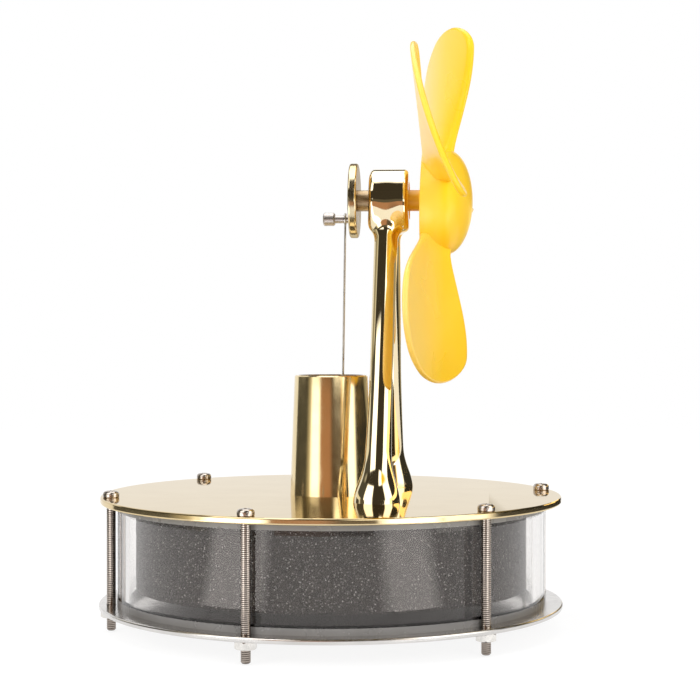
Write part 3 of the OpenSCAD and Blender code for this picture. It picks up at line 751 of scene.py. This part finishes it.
def seen_directly(tree):
    """1 for camera, glossy and transmission rays, else 0."""
    path = tree.nodes.new("ShaderNodeLightPath")
    total = path.outputs["Is Camera Ray"]
    for kind in ("Is Glossy Ray", "Is Transmission Ray"):
        add = tree.nodes.new("ShaderNodeMath")
        add.operation = "MAXIMUM"
        tree.links.new(total, add.inputs[0])
        tree.links.new(path.outputs[kind], add.inputs[1])
        total = add.outputs[0]
    return total


def studio_floor():
    """White floor that keeps the shadow and fades into the background."""
    radius = 0.9
    fade_start, fade_end = 0.25, 0.8
    lit_grey, seen_grey, own_light = 0.8, 0.25, 0.8
    below = 0.0002
    bm = bmesh.new()
    bmesh.ops.create_circle(bm, cap_ends=True, segments=96, radius=radius)
    mesh = bpy.data.meshes.new("floor")
    bm.to_mesh(mesh)
    bm.free()
    floor = bpy.data.objects.new("floor", mesh)
    floor.location.z = -below
    scene.collection.objects.link(floor)
    s = Shader("floor_white", Roughness=0.9, Emission_Color=(1, 1, 1, 1))
    s.main.inputs["Specular IOR Level"].default_value = 0.0
    seen = seen_directly(s.tree)
    s.drive("Base Color", s.ramp(seen, (0.0, (lit_grey,) * 3), (1.0, (seen_grey,) * 3)))
    glow = s.node("Math", {0: seen, 1: own_light}, operation="MULTIPLY")
    s.drive("Emission Strength", glow.outputs[0])
    far = s.node("VectorMath", {0: s.place}, operation="LENGTH").outputs["Value"]
    s.drive("Alpha", s.span(far, 1.0, 0.0, fade_start, fade_end))
    mesh.materials.append(s.material)


def reflected_wall(name, section, stops, cover=None, middle=(0, 0, 0)):
    """Wall round the object, seen only in reflections. The section gives (radius, height) points at an
    azimuth in degrees from the camera's side, to the right, and each stop has an azimuth and its light.
    The cover, where given, is the opacity at each point of the section. The wall runs round the middle."""
    columns = 120
    first, last = stops[0][0], stops[-1][0]
    bm = bmesh.new()
    grid = []
    for i in range(columns + 1):
        degrees = first + (last - first) * i / columns
        az = radians(degrees)
        grid.append([bm.verts.new((r * sin(az), -r * cos(az), z)) for r, z in section(degrees)])
    for a, b in zip(grid, grid[1:]):
        for j in range(len(a) - 1):
            bm.faces.new((a[j], b[j], b[j + 1], a[j + 1]))
    mesh = bpy.data.meshes.new(name)
    bm.to_mesh(mesh)
    bm.free()
    wall = bpy.data.objects.new(name, mesh)
    wall.location = middle
    wall.rotation_euler.z = -Vector((0, 1)).angle_signed(heading.xy)
    scene.collection.objects.link(wall)
    brightest = max(max(colour) for _, colour in stops)
    s = Shader(name, Base_Color=(0, 0, 0, 1), Roughness=1.0, Emission_Strength=brightest)
    s.main.inputs["Specular IOR Level"].default_value = 0.0
    place = s.node("SeparateXYZ", {"Vector": s.place}).outputs
    ahead = s.node("Math", {0: place["Y"], 1: -1.0}, operation="MULTIPLY").outputs[0]
    azimuth = s.node("Math", {0: place["X"], 1: ahead}, operation="ARCTAN2").outputs[0]
    share = s.span(azimuth, 0.0, 1.0, radians(first), radians(last))
    marks = [((az - first) / (last - first), [c / brightest for c in colour]) for az, colour in stops]
    s.drive("Emission Color", s.ramp(share, *marks))
    if cover:
        layer = mesh.attributes.new("cover", "FLOAT", "POINT")
        layer.data.foreach_set("value", cover * (columns + 1))
        s.drive("Alpha", s.node("Attribute", attribute_name="cover").outputs["Fac"])
    mesh.materials.append(s.material)
    for ray in ("camera", "diffuse", "transmission", "shadow", "volume_scatter"):
        setattr(wall, "visible_" + ray, False)


def soft_lamp(name, place, aim, size, power):
    """Round lamp that the polished surfaces don't show."""
    data = bpy.data.lights.new(name, "AREA")
    data.shape = "DISK"
    data.size = size
    data.energy = power
    lamp = bpy.data.objects.new(name, data)
    lamp.location = place
    lamp.rotation_euler = (Vector(aim) - Vector(place)).to_track_quat("-Z", "Y").to_euler()
    lamp.visible_glossy = False
    lamp.visible_camera = False
    scene.collection.objects.link(lamp)


studio_world()
studio_floor()
soft_lamp("overhead", (-0.1, -0.2, 0.9), (0, 0, 0.05), 0.7, 1.2)
soft_lamp("front_left", (-0.55, -0.68, 0.42), (0, 0, 0.07), 0.5, 3.1)
soft_lamp("front_right", (0.5, -0.7, 0.3), (0, 0, 0.07), 0.5, 2.5)
soft_lamp("back_left", (-0.7, 0.45, 0.35), (0.02, 0, 0.09), 0.5, 0.8)

# Room that the metal reflects: its lights, and the azimuths in degrees where each wall's light changes
softbox = (2.4, 2.37, 2.28)
floor_glow = (0.95, 0.95, 0.95)
strong_glow = (3.8, 3.75, 3.7)
black = (0.05, 0.042, 0.03)
copper = (0.5, 0.26, 0.145)
brown = (0.13, 0.095, 0.065)
gold = (1.0, 0.66, 0.24)
dull_gold = (0.7, 0.62, 0.42)
left_dark = (0.09, 0.085, 0.07)
right_dark = (0.04, 0.037, 0.03)
left_pale = (0.95, 0.9, 0.75)
right_gold = (2.2, 1.6, 0.7)
olive = (0.12, 0.105, 0.075)
yellow = (1.15, 0.75, 0.05)
end_gold = (0.4, 0.36, 0.25)
low_wall = ((-122, left_dark), (-76, left_dark), (-64, dull_gold), (-56, softbox), (-37, softbox),
            (-29, copper), (-4, copper), (5, brown), (28, brown), (34, gold), (41, softbox), (70, softbox),
            (80, right_dark), (152, right_dark))
mid_wall = ((-122, left_pale), (-92, left_pale), (-84, olive), (4, olive), (14, softbox), (60, softbox),
            (70, right_gold), (152, right_gold))
high_wall = ((-122, left_dark), (-70, left_dark), (-64, softbox), (-24, softbox), (-18, black), (40, black),
             (46, softbox), (78, softbox), (83, right_dark), (152, right_dark))
curtain = ((-122, end_gold), (-96, end_gold), (-88, left_pale), (-80, black), (8, black), (14, softbox),
           (26, softbox), (34, yellow), (84, yellow), (92, end_gold), (152, end_gold))
back_gap = ((-222, black), (-180, black), (-138, black))
ceiling = ((-180, softbox), (0, softbox), (180, softbox))
back_box = ((-222, softbox), (-180, softbox), (-138, softbox))
left_glow = ((-56, floor_glow), (-50, strong_glow), (-29, strong_glow), (-24, floor_glow))
right_glow = ((19, floor_glow), (26, strong_glow), (41, strong_glow), (48, floor_glow))

# Sizes of that room: an upright wall that leans in to a ceiling, a gap and a bright box at the back, and
# two glowing strips on the floor
room_r = 0.24
room_z = 0.001
low_top = 0.066
wall_heights = (0.1, 0.16, 0.22, 0.28)
wall_radii = (room_r, 0.225, 0.18, 0.1)
ceiling_z = 0.285
ceiling_r = 0.085
back_r = 0.19
gap_r = 0.26
gap_z = 0.24
glow_near = (0.1, 0.0008)
glow_far = (0.2, 0.02)

# Soft-edged curtain near the front leg that only its upper half reflects, lower to the sides
curtain_middle = (0.0107, -0.006, 0)
curtain_r = 0.06
curtain_z = 0.1165
curtain_fall = 0.0000027
curtain_half = 0.0155
curtain_fade = 0.006


def curtain_section(azimuth):
    """Points of the curtain's section, from its lower edge to its upper edge."""
    mean = curtain_z - curtain_fall * azimuth ** 2
    far = curtain_half + curtain_fade
    return [(curtain_r, mean + rise) for rise in (-far, -curtain_half, curtain_half, far)]


def level_section(*points):
    """A section that is the same all round."""
    return lambda azimuth: points


reflected_wall("low_wall", level_section((room_r, room_z), (room_r, low_top)), low_wall)
reflected_wall("mid_wall", level_section((room_r, low_top), (room_r, wall_heights[0])), mid_wall)
reflected_wall("left_glow", level_section(glow_near, glow_far), left_glow)
reflected_wall("right_glow", level_section(glow_near, glow_far), right_glow)
reflected_wall("high_wall", level_section(*zip(wall_radii, wall_heights)), high_wall)
reflected_wall("curtain", curtain_section, curtain, [0.0, 1.0, 1.0, 0.0], curtain_middle)
reflected_wall("back_gap", level_section((gap_r, gap_z), (back_r, ceiling_z)), back_gap)
reflected_wall("ceiling", level_section((0.0, ceiling_z), (ceiling_r, ceiling_z)), ceiling)
reflected_wall("back_box", level_section((ceiling_r, ceiling_z), (back_r, ceiling_z)), back_box)
